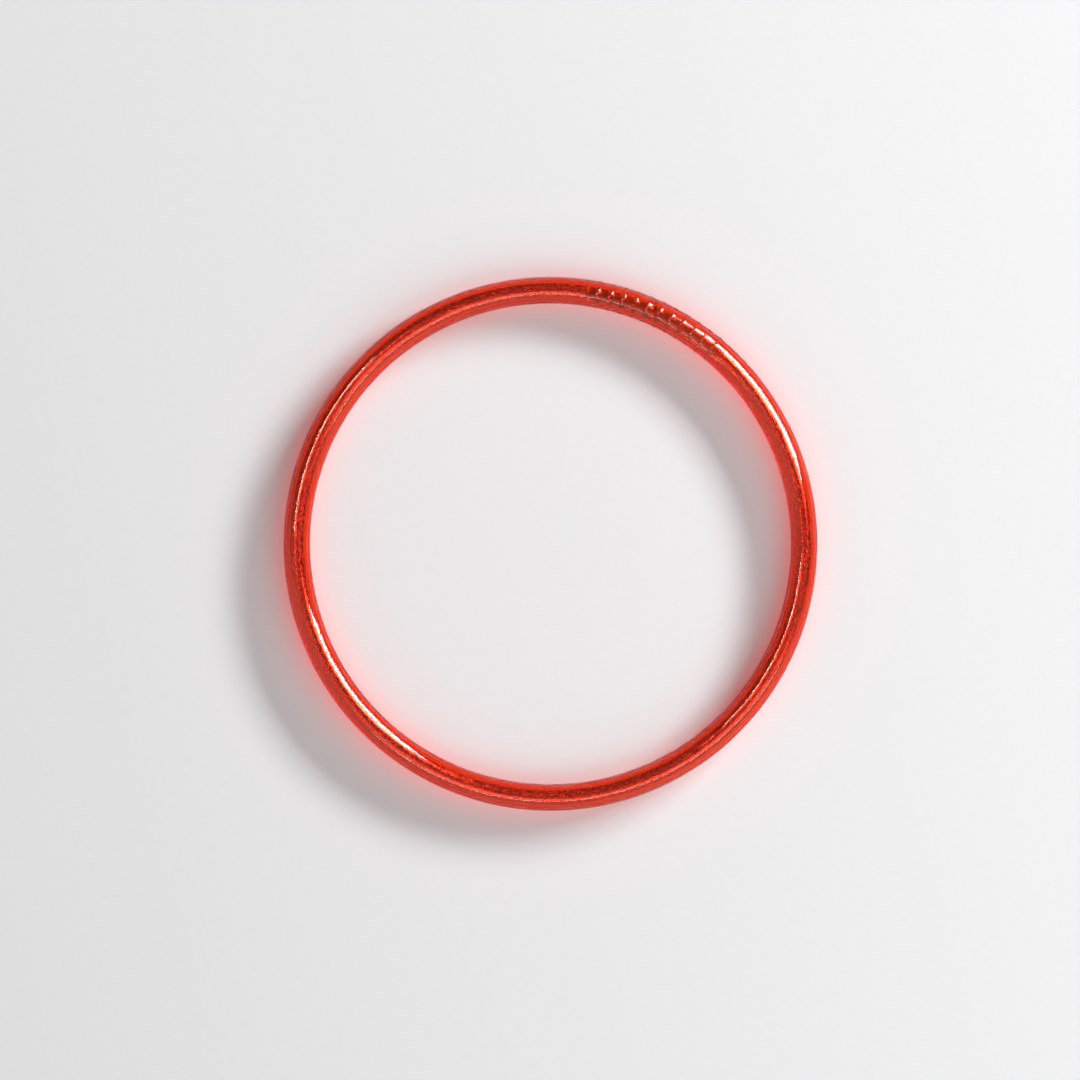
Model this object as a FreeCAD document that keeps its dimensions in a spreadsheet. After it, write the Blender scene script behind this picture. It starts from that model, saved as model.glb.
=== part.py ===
"""A closed tube bangle: one length of tinted tube bent into a ring, lined with a rolled glitter foil.

The tube's two ends butt together over a ribbed plug, and a little adhesive fills the seam.
The ring lies flat: +Z is the ring's axis, +Y points at the seam, and Z = 0 is the surface it lies on.
Every body is drawn about the tube's centreline in the XY plane, and its Placement lifts it onto Z = 0.
"""

import FreeCAD
import Part
import Sketcher

import math
import os

FULL_TURN = 360.0
SEAM_DIRECTION = 90.0  # degrees from +X, so the seam is at +Y
BAD_STATES = ("Invalid", "Error")
LENGTH_TOLERANCE = 1e-6  # millimetres
ANGLE_TOLERANCE = 1e-4  # degrees
Z_AXIS = FreeCAD.Vector(0, 0, 1)
Y_AXIS = FreeCAD.Vector(0, 1, 0)
X_AXIS = FreeCAD.Vector(1, 0, 0)

# Alias, size in millimetres (or a plain count or angle) and what it is.
DRIVING_SIZES = [
    ("bangle_opening", 63.0, "inner diameter of the ring, where the hand goes through"),
    ("tube_diameter", 3.5, "outer diameter of the tube"),
    ("tube_bore", 2.1, "bore of the tube before it is stretched"),
    ("crest_diameter", 2.26, "plug's diameter over its ribs"),
    ("root_diameter", 1.76, "plug's diameter between its ribs"),
    ("rib_pitch", 1.68, "distance from one rib to the next along the tube"),
    ("rib_count", 11, "ribs on the plug"),
    ("rib_width", 0.6, "width of a rib along the tube"),
    ("rib_round", 0.24, "rounding of a rib's two crest edges"),
    ("plug_end_length", 1.18, "plain length of plug beyond its last rib, at each end"),
    ("plug_end_round", 0.25, "rounding of the plug's ends"),
    ("seam_offset", 1.13, "distance of the seam from the plug's middle rib"),
    ("seam_gap", 0.08, "gap between the tube's two end faces"),
    ("stretch_clearance", 0.01, "clearance of the stretched bore over the ribs"),
    ("stretch_fade", 3.0, "length over which the stretched tube returns to its plain size"),
    ("foil_diameter", 2.0, "outer diameter of the rolled foil"),
    ("foil_thickness", 0.05, "thickness of the foil sheet"),
    ("foil_wind", 0.035, "how far the roll draws in over each half turn"),
    ("foil_lap_angle", 75.0, "how far the inner edge laps past a full turn, in degrees"),
    ("foil_end_gap", 0.35, "gap between each end of the foil and the plug"),
    ("glue_recess", 0.02, "how far the adhesive stays below the tube's surface"),
    ("glue_film", 0.07, "thickness of the adhesive in the seam"),
    ("glue_collar_near", 0.17, "adhesive's reach in the plug's groove, towards the nearer rib"),
    ("glue_collar_far", 0.52, "adhesive's reach in the plug's groove, towards the farther rib"),
    ("flake_count", 48, "loose glitter flakes between foil and bore"),
    ("flake_width", 0.2, "width of a flake across its corners"),
    ("flake_thickness", 0.015, "thickness of a flake"),
    ("flake_float", 0.008, "how far a flake lies off the foil"),
]

# Alias and formula for the sizes worked out from the driving ones. Lengths along the tube become
# degrees round the ring by dividing by degree_length.
DERIVED_SIZES = [
    ("ring_radius", "(bangle_opening + tube_diameter) / 2"),
    ("degree_length", "ring_radius * pi / 180"),
    ("tube_radius", "tube_diameter / 2"),
    ("bore_radius", "tube_bore / 2"),
    ("crest_radius", "crest_diameter / 2"),
    ("root_radius", "root_diameter / 2"),
    ("stretched_bore", "crest_radius + stretch_clearance"),
    # The wall keeps its area when it is stretched over the plug.
    ("stretched_radius", "sqrt(tube_radius ^ 2 - bore_radius ^ 2 + stretched_bore ^ 2)"),
    ("row_length", "(rib_count - 1) * rib_pitch"),
    ("row_angle", "row_length / degree_length"),
    ("plug_angle", "(row_length + 2 * plug_end_length) / degree_length"),
    ("fade_angle", "stretch_fade / degree_length"),
    ("offset_angle", "seam_offset / degree_length"),
    ("gap_angle", "seam_gap / degree_length"),
    ("foil_angle", "360 - plug_angle - 2 * foil_end_gap / degree_length"),
]


def make_sizes(doc):
    """The spreadsheet of driving and derived sizes."""
    sheet = doc.addObject("Spreadsheet::Sheet", "Sizes")
    for row, (alias, size, meaning) in enumerate(DRIVING_SIZES, start=1):
        sheet.set(f"A{row}", meaning)
        sheet.set(f"B{row}", str(size))
        sheet.setAlias(f"B{row}", alias)
    for row, (alias, formula) in enumerate(DERIVED_SIZES, start=len(DRIVING_SIZES) + 1):
        sheet.set(f"A{row}", f"worked out: {formula}")
        sheet.set(f"B{row}", f"={formula}")
        sheet.setAlias(f"B{row}", alias)
    doc.recompute()
    return sheet


def point_on_ring(radius, angle):
    """The point at that angle, in degrees from +X, on a circle about the origin in the XY plane."""
    turn = math.radians(angle)
    return FreeCAD.Vector(radius * math.cos(turn), radius * math.sin(turn), 0)


def origin_plane(body, role):
    """The body's own origin plane with that role, such as XY_Plane."""
    return next(plane for plane in body.Origin.OriginFeatures if plane.Role == role)


def new_sketch(body, name, role):
    """An empty sketch in the body, on the origin plane with that role."""
    sketch = body.newObject("Sketcher::SketchObject", name)
    sketch.AttachmentSupport = [(origin_plane(body, role), "")]
    sketch.MapMode = "FlatFace"
    return sketch


def bind(sketch, kind, places, start, name, formula):
    """Adds a named dimension that starts at a value and then follows a formula on the sheet."""
    index = sketch.addConstraint(Sketcher.Constraint(kind, *places, start))
    sketch.renameConstraint(index, name)
    sketch.setExpression(f"Constraints.{name}", formula)


def turn_about_ring(body, sketch, name, formula):
    """Revolves the sketch about the ring's axis, half the angle to each side of its plane."""
    turned = body.newObject("PartDesign::Revolution", name)
    turned.Profile = sketch
    turned.ReferenceAxis = (sketch, ["V_Axis"])
    turned.Midplane = True
    turned.setExpression("Angle", formula)
    return turned


def lift_and_turn(feature, sheet, angle):
    """Places a feature drawn about +X so that it lies on Z = 0, turned by angle about the ring's axis."""
    base = FreeCAD.Vector(0, 0, sheet.stretched_radius)
    feature.Placement = FreeCAD.Placement(base, FreeCAD.Rotation(Z_AXIS, angle))


# --- the tube ---------------------------------------------------------------------------------


def plain_arc(doc, name, radius_formula, start, sweep_formula):
    """A stretch of round rod along the ring, from the angle start."""
    arc = doc.addObject("Part::Torus", name)
    arc.setExpression("Radius1", "Sizes.ring_radius")
    arc.setExpression("Radius2", radius_formula)
    arc.setExpression("Angle3", sweep_formula)
    arc.Placement = FreeCAD.Placement(FreeCAD.Vector(), FreeCAD.Rotation(Z_AXIS, start))
    return arc


def fading_arc(doc, name, sheet, near_cell, far_cell, start, sweep):
    """A stretch of rod whose radius eases from one cell's size to another's over the sweep."""
    steps = 6
    circles = []
    for step in range(steps + 1):
        share = step / steps
        angle = start + share * sweep
        eased = share * share * (3 - 2 * share)
        circle = doc.addObject("Part::Circle", f"{name}_ring_{step}")
        circle.setExpression(
            "Radius", f"Sizes.{near_cell} + (Sizes.{far_cell} - Sizes.{near_cell}) * {eased:.6f}"
        )
        facing = FreeCAD.Rotation(Z_AXIS, angle) * FreeCAD.Rotation(X_AXIS, -90)
        circle.Placement = FreeCAD.Placement(point_on_ring(sheet.ring_radius, angle), facing)
        circles.append(circle)
    loft = doc.addObject("Part::Loft", name)
    loft.Sections = circles
    loft.Solid = True
    loft.Ruled = False
    return loft


def stretched_rod(doc, name, sheet, plain_cell, stretched_cell):
    """An open ring of rod from one side of the seam round to the other, thicker over the plug."""
    middle = SEAM_DIRECTION - sheet.offset_angle
    plug_left = middle + sheet.plug_angle / 2
    plug_right = middle - sheet.plug_angle / 2
    seam_left = SEAM_DIRECTION + sheet.gap_angle / 2
    near_side = "(Sizes.plug_angle - Sizes.gap_angle) / 2 - Sizes.offset_angle"
    far_side = "(Sizes.plug_angle - Sizes.gap_angle) / 2 + Sizes.offset_angle"
    plain_sweep = "360 - Sizes.plug_angle - 2 * Sizes.fade_angle"
    stretches = [
        plain_arc(doc, f"{name}_near", f"Sizes.{stretched_cell}", seam_left, near_side),
        fading_arc(
            doc, f"{name}_fade_out", sheet, stretched_cell, plain_cell, plug_left, sheet.fade_angle
        ),
        plain_arc(
            doc, f"{name}_plain", f"Sizes.{plain_cell}", plug_left + sheet.fade_angle, plain_sweep
        ),
        fading_arc(
            doc, f"{name}_fade_in", sheet, stretched_cell, plain_cell, plug_right, -sheet.fade_angle
        ),
        plain_arc(doc, f"{name}_far", f"Sizes.{stretched_cell}", plug_right, far_side),
    ]
    rod = doc.addObject("Part::MultiFuse", name)
    rod.Shapes = stretches
    return rod


def make_outer_tube(doc, sheet):
    """The tinted tube: one length, its ends a hair apart at the seam, swollen where the plug is."""
    outside = stretched_rod(doc, "tube_outside", sheet, "tube_radius", "stretched_radius")
    bore = stretched_rod(doc, "tube_inside", sheet, "bore_radius", "stretched_bore")
    tube = doc.addObject("Part::Cut", "outer_tube")
    tube.Base = outside
    tube.Tool = bore
    lift_and_turn(tube, sheet, 0)
    return tube


# --- the plug ---------------------------------------------------------------------------------


def make_joint_plug(doc, sheet):
    """The ribbed plug: a curved rod with rounded rings, pushed half into each end of the tube."""
    body = doc.addObject("PartDesign::Body", "joint_plug")
    core = round_section(body, sheet, "plug_core_section", "root_radius")
    turn_about_ring(body, core, "plug_core", "Sizes.plug_angle")

    # The first rib's sketch is swung back along the ring to the start of the row.
    rib = round_section(body, sheet, "rib_section", "crest_radius")
    rib.AttachmentOffset = FreeCAD.Placement(FreeCAD.Vector(), FreeCAD.Rotation(Y_AXIS, -1))
    rib.setExpression("AttachmentOffset.Rotation.Angle", "-Sizes.row_angle / 2")
    first_rib = turn_about_ring(body, rib, "rib", "Sizes.rib_width / Sizes.degree_length")
    doc.recompute()

    ribs = body.newObject("PartDesign::PolarPattern", "ribs")
    ribs.Originals = [first_rib]
    ribs.Axis = (core, ["V_Axis"])
    ribs.setExpression("Occurrences", "Sizes.rib_count")
    ribs.setExpression("Angle", "Sizes.row_angle")
    body.Tip = ribs
    doc.recompute()

    crests = round_edges(ribs.Shape, sheet.crest_radius)
    crowned = round_off(doc, body, ribs, "rib_crowns", crests, "Sizes.rib_round")
    ends = [
        name
        for name in round_edges(crowned.Shape, sheet.root_radius)
        if abs(edge_direction(crowned.Shape, name)) > sheet.plug_angle / 2 - ANGLE_TOLERANCE
    ]
    round_off(doc, body, crowned, "plug_ends", ends, "Sizes.plug_end_round")
    lift_and_turn(body, sheet, SEAM_DIRECTION - sheet.offset_angle)
    return body


def round_section(body, sheet, name, radius_cell):
    """A sketch of the circle that is turned about the ring's axis to make round rod."""
    sketch = new_sketch(body, name, "XZ_Plane")
    centre = FreeCAD.Vector(sheet.ring_radius, 0, 0)
    radius = getattr(sheet, radius_cell)
    sketch.addGeometry(Part.Circle(centre, Z_AXIS, radius), False)
    sketch.addConstraint(Sketcher.Constraint("PointOnObject", 0, 3, -1))
    bind(sketch, "DistanceX", (-1, 1, 0, 3), sheet.ring_radius, "ring", "Sizes.ring_radius")
    bind(sketch, "Radius", (0,), radius, "section", f"Sizes.{radius_cell}")
    return sketch


def round_edges(shape, radius):
    """Names of the shape's circular edges of that radius."""
    names = []
    for number, edge in enumerate(shape.Edges, start=1):
        is_circle = edge.Curve.TypeId == "Part::GeomCircle"
        if is_circle and abs(edge.Curve.Radius - radius) < LENGTH_TOLERANCE:
            names.append(f"Edge{number}")
    return names


def edge_direction(shape, name):
    """The direction from the ring's axis to a circular edge's centre, in degrees from +X."""
    centre = shape.getElement(name).Curve.Center
    return math.degrees(math.atan2(centre.y, centre.x))


def round_off(doc, body, base, name, edges, formula):
    """Rounds the named edges of a feature by a radius from the sheet, and makes that the tip."""
    fillet = body.newObject("PartDesign::Fillet", name)
    fillet.Base = (base, edges)
    fillet.setExpression("Radius", formula)
    body.Tip = fillet
    doc.recompute()
    return fillet


# --- the foil ---------------------------------------------------------------------------------


def make_foil_roll(doc, sheet):
    """The glitter foil: a thin sheet rolled into a tube with its edges lapped, bent round the ring."""
    body = doc.addObject("PartDesign::Body", "foil_roll")
    section = new_sketch(body, "foil_section", "XZ_Plane")
    outer = sheet.foil_diameter / 2
    for side, inset in enumerate((0.0, sheet.foil_thickness)):
        draw_roll_side(section, sheet, outer - inset, 3 * side)
    outer_start, outer_end = section.getPoint(0, 1), section.getPoint(2, 2)
    inner_start, inner_end = section.getPoint(3, 1), section.getPoint(5, 2)
    section.addGeometry(Part.LineSegment(outer_start, inner_start), False)
    section.addGeometry(Part.LineSegment(outer_end, inner_end), False)
    section.addConstraint(Sketcher.Constraint("Coincident", 6, 1, 0, 1))
    section.addConstraint(Sketcher.Constraint("Coincident", 6, 2, 3, 1))
    section.addConstraint(Sketcher.Constraint("Coincident", 7, 1, 2, 2))
    section.addConstraint(Sketcher.Constraint("Coincident", 7, 2, 5, 2))
    turn_about_ring(body, section, "foil", "Sizes.foil_angle")
    lift_and_turn(body, sheet, SEAM_DIRECTION - sheet.offset_angle + FULL_TURN / 2)
    return body


def draw_roll_side(sketch, sheet, radius, first):
    """One face of the rolled sheet: a half turn over the top, a smaller one below, then the lap.

    Each half turn is tangent to the one before, because its centre moves by as much as it shrinks.
    """
    centre, wind, lap = sheet.ring_radius, sheet.foil_wind, math.radians(sheet.foil_lap_angle)
    inset = "" if first == 0 else " - Sizes.foil_thickness"
    over, under, lapped = first, first + 1, first + 2
    turns = [
        (over, centre, radius, 0.0, math.pi, "Sizes.ring_radius"),
        (under, centre - wind, radius - wind, math.pi, 2 * math.pi,
         "Sizes.ring_radius - Sizes.foil_wind"),
        (lapped, centre, radius - 2 * wind, 0.0, lap, "Sizes.ring_radius"),
    ]
    for arc, middle, size, start, end, formula in turns:
        circle = Part.Circle(FreeCAD.Vector(middle, 0, 0), Z_AXIS, size)
        sketch.addGeometry(Part.ArcOfCircle(circle, start, end), False)
        sketch.addConstraint(Sketcher.Constraint("PointOnObject", arc, 3, -1))
        bind(sketch, "DistanceX", (-1, 1, arc, 3), middle, f"middle_{arc}", formula)
    bind(
        sketch, "Radius", (over,), radius, f"outside_{over}", f"Sizes.foil_diameter / 2{inset}"
    )
    sketch.addConstraint(Sketcher.Constraint("PointOnObject", over, 1, -1))
    for arc in (over, under):
        sketch.addConstraint(Sketcher.Constraint("PointOnObject", arc, 2, -1))
        sketch.addConstraint(Sketcher.Constraint("Coincident", arc, 2, arc + 1, 1))
    reach = (radius - 2 * wind) * math.sin(lap)
    bind(
        sketch, "DistanceY", (-1, 1, lapped, 2), reach, f"lap_{first}",
        f"(Sizes.foil_diameter / 2{inset} - 2 * Sizes.foil_wind) * sin(Sizes.foil_lap_angle)",
    )


# --- the adhesive -----------------------------------------------------------------------------


def make_seam_glue(doc, sheet):
    """The adhesive: a thin disc between the tube's ends, with a collar in the groove beneath it."""
    body = doc.addObject("PartDesign::Body", "seam_glue")
    profile = new_sketch(body, "glue_profile", "XY_Plane")
    centre, film = sheet.ring_radius, sheet.glue_film / 2
    bottom = centre + sheet.root_radius + sheet.stretch_clearance
    shoulder = centre + sheet.crest_radius
    top = centre + sheet.stretched_radius - sheet.glue_recess
    outline = [
        (bottom, -sheet.glue_collar_far),
        (shoulder, -sheet.glue_collar_far),
        (shoulder, -film),
        (top, -film),
        (top, film),
        (shoulder, film),
        (shoulder, sheet.glue_collar_near),
        (bottom, sheet.glue_collar_near),
    ]
    corners = [FreeCAD.Vector(x, y, 0) for x, y in outline]
    for here, after in zip(corners, corners[1:] + corners[:1]):
        profile.addGeometry(Part.LineSegment(here, after), False)
    count = len(corners)
    for line in range(count):
        profile.addConstraint(Sketcher.Constraint("Coincident", line, 2, (line + 1) % count, 1))
        level = "Horizontal" if line % 2 == 0 else "Vertical"
        profile.addConstraint(Sketcher.Constraint(level, line))
    spine_low = FreeCAD.Vector(centre, -sheet.glue_collar_far, 0)
    spine_high = FreeCAD.Vector(centre, sheet.glue_collar_near, 0)
    spine = profile.addGeometry(Part.LineSegment(spine_low, spine_high), True)
    bind_glue_profile(profile, sheet, spine, bottom, shoulder, top)
    ring = body.newObject("PartDesign::Revolution", "glue")
    ring.Profile = profile
    ring.ReferenceAxis = (profile, ["Axis0"])
    ring.Angle = FULL_TURN
    lift_and_turn(body, sheet, SEAM_DIRECTION)
    return body


def bind_glue_profile(profile, sheet, spine, bottom, shoulder, top):
    """Ties the adhesive's outline to the sheet: its three radii, its film and its two collars."""
    centre, film = sheet.ring_radius, sheet.glue_film / 2
    bind(
        profile, "DistanceX", (-1, 1, 0, 1), bottom, "bottom",
        "Sizes.ring_radius + Sizes.root_radius + Sizes.stretch_clearance",
    )
    bind(
        profile, "DistanceX", (-1, 1, 1, 1), shoulder, "shoulder",
        "Sizes.ring_radius + Sizes.crest_radius",
    )
    profile.addConstraint(Sketcher.Constraint("PointOnObject", 5, 2, 1))
    bind(
        profile, "DistanceX", (-1, 1, 3, 1), top, "top",
        "Sizes.ring_radius + Sizes.stretched_radius - Sizes.glue_recess",
    )
    bind(profile, "DistanceY", (3, 1, -1, 1), film, "film_low", "Sizes.glue_film / 2")
    bind(profile, "DistanceY", (-1, 1, 3, 2), film, "film_high", "Sizes.glue_film / 2")
    far, near = sheet.glue_collar_far, sheet.glue_collar_near
    bind(profile, "DistanceY", (0, 1, -1, 1), far, "collar_far", "Sizes.glue_collar_far")
    bind(profile, "DistanceY", (-1, 1, 6, 1), near, "collar_near", "Sizes.glue_collar_near")
    profile.addConstraint(Sketcher.Constraint("Vertical", spine))
    bind(profile, "DistanceX", (-1, 1, spine, 1), centre, "spine", "Sizes.ring_radius")
    bind(profile, "DistanceY", (spine, 1, -1, 1), far, "spine_low", "Sizes.glue_collar_far")
    bind(profile, "DistanceY", (-1, 1, spine, 2), near, "spine_high", "Sizes.glue_collar_near")


# --- the glitter ------------------------------------------------------------------------------


def make_glitter_flakes(doc, sheet):
    """Loose six-sided glitter flakes, scattered over the foil in even steps round both circles."""
    golden_share = (math.sqrt(5) - 1) / 2
    count = int(sheet.flake_count)
    first = SEAM_DIRECTION - sheet.offset_angle + (FULL_TURN - sheet.foil_angle) / 2
    spacing = sheet.foil_angle / count
    flakes = []
    for number in range(count):
        along = first + (number + 0.5) * spacing
        around = FULL_TURN * ((number * golden_share) % 1.0)
        flakes.append(one_flake(sheet, along, around))
    glitter = doc.addObject("Part::Feature", "glitter_flakes")
    glitter.Shape = Part.makeCompound(flakes)
    lift_and_turn(glitter, sheet, 0)
    return glitter


def one_flake(sheet, along, around):
    """A flake at an angle along the ring and an angle around the tube, flat on the foil."""
    corners = []
    for corner in range(7):
        turn = math.radians(60 * corner)
        reach = sheet.flake_width / 2
        corners.append(FreeCAD.Vector(reach * math.cos(turn), reach * math.sin(turn), 0))
    face = Part.Face(Part.makePolygon(corners))
    flake = face.extrude(FreeCAD.Vector(0, 0, sheet.flake_thickness))
    height = sheet.foil_diameter / 2 + sheet.flake_float
    stand = FreeCAD.Placement(FreeCAD.Vector(0, 0, height), FreeCAD.Rotation())
    roll = FreeCAD.Placement(FreeCAD.Vector(), FreeCAD.Rotation(Y_AXIS, around))
    out = FreeCAD.Placement(FreeCAD.Vector(sheet.ring_radius, 0, 0), FreeCAD.Rotation())
    swing = FreeCAD.Placement(FreeCAD.Vector(), FreeCAD.Rotation(Z_AXIS, along))
    flake.Placement = swing * out * roll * stand
    return flake


# --- checks and export ------------------------------------------------------------------------


def check_and_export(doc, parts):
    """Stops on any failed object or shape, then writes one STEP file for each sub-part."""
    doc.recompute()
    for thing in doc.Objects:
        if any(state in BAD_STATES for state in thing.State):
            raise RuntimeError(f"{thing.Name} failed: {thing.State}")
    os.makedirs("parts", exist_ok=True)
    for part in parts:
        shape = part.Shape
        if shape.isNull() or not shape.isValid() or not shape.Solids:
            raise RuntimeError(f"{part.Label} has no valid solid")
        shape.exportStep(f"parts/{part.Label}.step")
        print(f"{part.Label}: {len(shape.Solids)} solid(s), {shape.Volume:.3f} mm3")


def main():
    """Builds the bangle's document and exports its sub-parts."""
    doc = FreeCAD.newDocument("tube_bangle")
    sheet = make_sizes(doc)
    makers = [
        make_outer_tube,
        make_foil_roll,
        make_joint_plug,
        make_seam_glue,
        make_glitter_flakes,
    ]
    parts = [make(doc, sheet) for make in makers]
    check_and_export(doc, parts)


main()
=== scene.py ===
"""A closed tube bangle: a tinted vinyl tube lined with rolled glitter foil, joined over a plug.

The pieces are modelled round the tube's centreline, a circle that lies above the table by the
radius of the tube's thickest part. Lengths are in metres. Directions round the ring are angles
from +X, and directions round the tube are angles from the outward radius, turning up.
"""

from __future__ import annotations

import logging
import math
import random
from dataclasses import dataclass
from enum import Enum
from typing import Callable

import bmesh
import bpy
from mathutils import Matrix, Vector, noise


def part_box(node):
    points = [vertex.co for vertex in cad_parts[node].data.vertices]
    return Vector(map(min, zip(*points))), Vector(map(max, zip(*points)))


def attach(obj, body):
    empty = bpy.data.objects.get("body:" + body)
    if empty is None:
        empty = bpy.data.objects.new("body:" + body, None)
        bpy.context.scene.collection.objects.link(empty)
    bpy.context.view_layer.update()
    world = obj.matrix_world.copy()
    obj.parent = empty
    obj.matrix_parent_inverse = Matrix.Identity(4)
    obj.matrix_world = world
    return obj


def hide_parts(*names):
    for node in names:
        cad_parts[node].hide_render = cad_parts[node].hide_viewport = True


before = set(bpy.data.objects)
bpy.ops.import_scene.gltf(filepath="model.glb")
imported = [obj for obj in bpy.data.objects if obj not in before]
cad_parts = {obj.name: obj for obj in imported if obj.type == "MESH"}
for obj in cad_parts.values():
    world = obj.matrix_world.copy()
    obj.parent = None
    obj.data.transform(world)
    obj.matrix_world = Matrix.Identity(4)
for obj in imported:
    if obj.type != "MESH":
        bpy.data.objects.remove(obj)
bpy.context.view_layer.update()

LOG = logging.getLogger("bangle")
MM = 0.001
FULL_TURN = 2 * math.pi
QUARTER_TURN = math.pi / 2
MERGE_WITHIN = 0.001 * MM

# Directions in the view are degrees from its right, turning towards its top.
KEY_TURN = 36.5

# A colour Mix node's two colour inputs and its colour output.
MIX_FIRST, MIX_SECOND, MIX_RESULT = 6, 7, 2

Law = Callable[[float, float, float], float]
Pair = tuple[float, float]
Shape = bmesh.types.BMesh
Socket = bpy.types.NodeSocket


# --- the line that every piece follows ----------------------------------------------------------


@dataclass(frozen=True)
class Centreline:
    """The circle that the tube is bent along, and the places that are counted along it.

    Args:
        radius: The circle's radius.
        lift: Its height above the table.
        seam: Direction of the seam where the tube's ends meet.
        plug_middle: Direction of the plug's middle rib.
    """

    radius: float = 33.25 * MM
    lift: float = 1.8 * MM
    seam: float = QUARTER_TURN
    plug_middle: float = QUARTER_TURN

    @classmethod
    def from_frame(cls) -> Centreline:
        """Reads the height and the plug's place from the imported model.

        Returns:
            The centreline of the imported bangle.
        """
        low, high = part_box("outer_tube")
        plug_low, plug_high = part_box("joint_plug")
        left = math.asin(plug_low.x / cls.radius)
        right = math.asin(plug_high.x / cls.radius)
        return cls(lift=(low.z + high.z) / 2, plug_middle=cls.seam - (left + right) / 2)

    def point(self, turn: float, around: float, reach: float) -> Vector:
        """Finds a point beside the centreline.

        Args:
            turn: Direction round the ring.
            around: Direction round the tube.
            reach: Distance from the centreline.

        Returns:
            The point in the bangle's frame.
        """
        out = self.radius + reach * math.cos(around)
        rise = self.lift + reach * math.sin(around)
        return Vector((out * math.cos(turn), out * math.sin(turn), rise))

    def polar(self, place: Vector) -> tuple[float, float, float]:
        """Finds where a point is beside the centreline.

        Args:
            place: A point in the bangle's frame.

        Returns:
            Its direction round the ring, its direction round the tube and its distance.
        """
        out = math.hypot(place.x, place.y) - self.radius
        rise = place.z - self.lift
        return math.atan2(place.y, place.x), math.atan2(rise, out), math.hypot(out, rise)

    def past(self, mark: float, turn: float) -> float:
        """Measures how far along the tube a direction is from a mark, positive anticlockwise."""
        return math.remainder(turn - mark, FULL_TURN) * self.radius

    def past_plug(self, turn: float) -> float:
        """Measures how far along the tube a direction is from the plug's middle rib."""
        return self.past(self.plug_middle, turn)

    def past_seam(self, turn: float) -> float:
        """Measures how far along the tube a direction is from the seam."""
        return self.past(self.seam, turn)

    def reshape(self, shape: Shape, law: Law) -> None:
        """Moves every vertex towards or away from the centreline and turns the faces outwards.

        Args:
            shape: The mesh to change.
            law: Gives the new distance from the direction round the ring, the direction round
                the tube and the old distance.
        """
        for vertex in shape.verts:
            turn, around, reach = self.polar(vertex.co)
            vertex.co = self.point(turn, around, law(turn, around, reach))
        bmesh.ops.recalc_face_normals(shape, faces=shape.faces)


@dataclass(frozen=True)
class JointSizes:
    """Sizes round the joint that more than one piece needs.

    Args:
        tube_radius: Outside of the plain tube.
        bore_radius: Inside of the plain tube.
        crest_radius: The plug over its ribs.
        root_radius: The plug between its ribs.
        clearance: Gap between the ribs and the stretched bore.
        pitch: Distance from rib to rib.
        ribs: How many ribs there are.
        plain_end: Length of plug beyond its last rib.
        fade: Length over which the stretched tube returns to its plain size.
    """

    tube_radius: float = 1.75 * MM
    bore_radius: float = 1.05 * MM
    crest_radius: float = 1.13 * MM
    root_radius: float = 0.88 * MM
    clearance: float = 0.01 * MM
    pitch: float = 1.68 * MM
    ribs: int = 11
    plain_end: float = 1.18 * MM
    fade: float = 3.0 * MM

    @property
    def half_plug(self) -> float:
        """Half the plug's length along the centreline."""
        return (self.ribs - 1) / 2 * self.pitch + self.plain_end

    @property
    def stretched_bore(self) -> float:
        """Radius of the bore over the plug."""
        return self.crest_radius + self.clearance

    @property
    def stretched_radius(self) -> float:
        """Radius of the tube over the plug, where the wall keeps its area."""
        wall_area = self.tube_radius**2 - self.bore_radius**2
        return math.sqrt(wall_area + self.stretched_bore**2)

    def stretch(self, from_plug: float) -> float:
        """Tells how far the tube is stretched at a distance from the plug's middle.

        Args:
            from_plug: Distance along the centreline.

        Returns:
            1 over the plug, 0 on the plain tube, easing between them.
        """
        share = min(max((abs(from_plug) - self.half_plug) / self.fade, 0.0), 1.0)
        return 1 - share * share * (3 - 2 * share)

    def past_rib(self, from_plug: float) -> float:
        """Measures how far a place is from the middle of the nearest rib.

        Args:
            from_plug: Distance along the centreline from the plug's middle.

        Returns:
            The distance along the centreline, positive away from the plug's start.
        """
        last = (self.ribs - 1) // 2
        nearest = max(-last, min(last, round(from_plug / self.pitch)))
        return from_plug - nearest * self.pitch


# --- mesh helpers -------------------------------------------------------------------------------


def ripple(angle: float, waves: float, depth: float, shift: float = 0.0) -> float:
    """A smooth, repeatable random value that comes back to itself after a full turn.

    Args:
        angle: A direction round the ring or the tube.
        waves: Radius of the circle that the turn follows through the noise.
        depth: How deep in the noise the circle lies.
        shift: How far the circle is moved sideways.

    Returns:
        A value from about -1 to 1.
    """
    place = (waves * math.cos(angle) + shift, waves * math.sin(angle), depth)
    return noise.noise(Vector(place))


def section(line: Centreline, reach: float, sides: int, start: float = 0.0) -> Shape:
    """Starts a swept mesh with a circle round a centreline.

    Args:
        line: The centreline.
        reach: The circle's radius.
        sides: How many sides it has.
        start: Direction round the ring where the circle stands.

    Returns:
        A mesh that holds the circle.
    """
    shape = bmesh.new()
    place = Matrix.Translation((line.radius, 0, line.lift))
    stand = Matrix.Rotation(start, 4, "Z") @ place
    upright = stand @ Matrix.Rotation(QUARTER_TURN, 4, "X")
    bmesh.ops.create_circle(shape, segments=sides, radius=reach, matrix=upright)
    return shape


def spin(shape: Shape, angle: float, steps: int, **how: bool) -> None:
    """Spins the whole mesh round the ring's axis.

    Args:
        shape: The mesh.
        angle: The angle to spin through.
        steps: How many steps that takes.
        how: The operator's options.
    """
    every = [*shape.verts, *shape.edges, *shape.faces]
    bmesh.ops.spin(
        shape, geom=every, cent=(0, 0, 0), axis=(0, 0, 1), angle=angle, steps=steps, **how
    )


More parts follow.
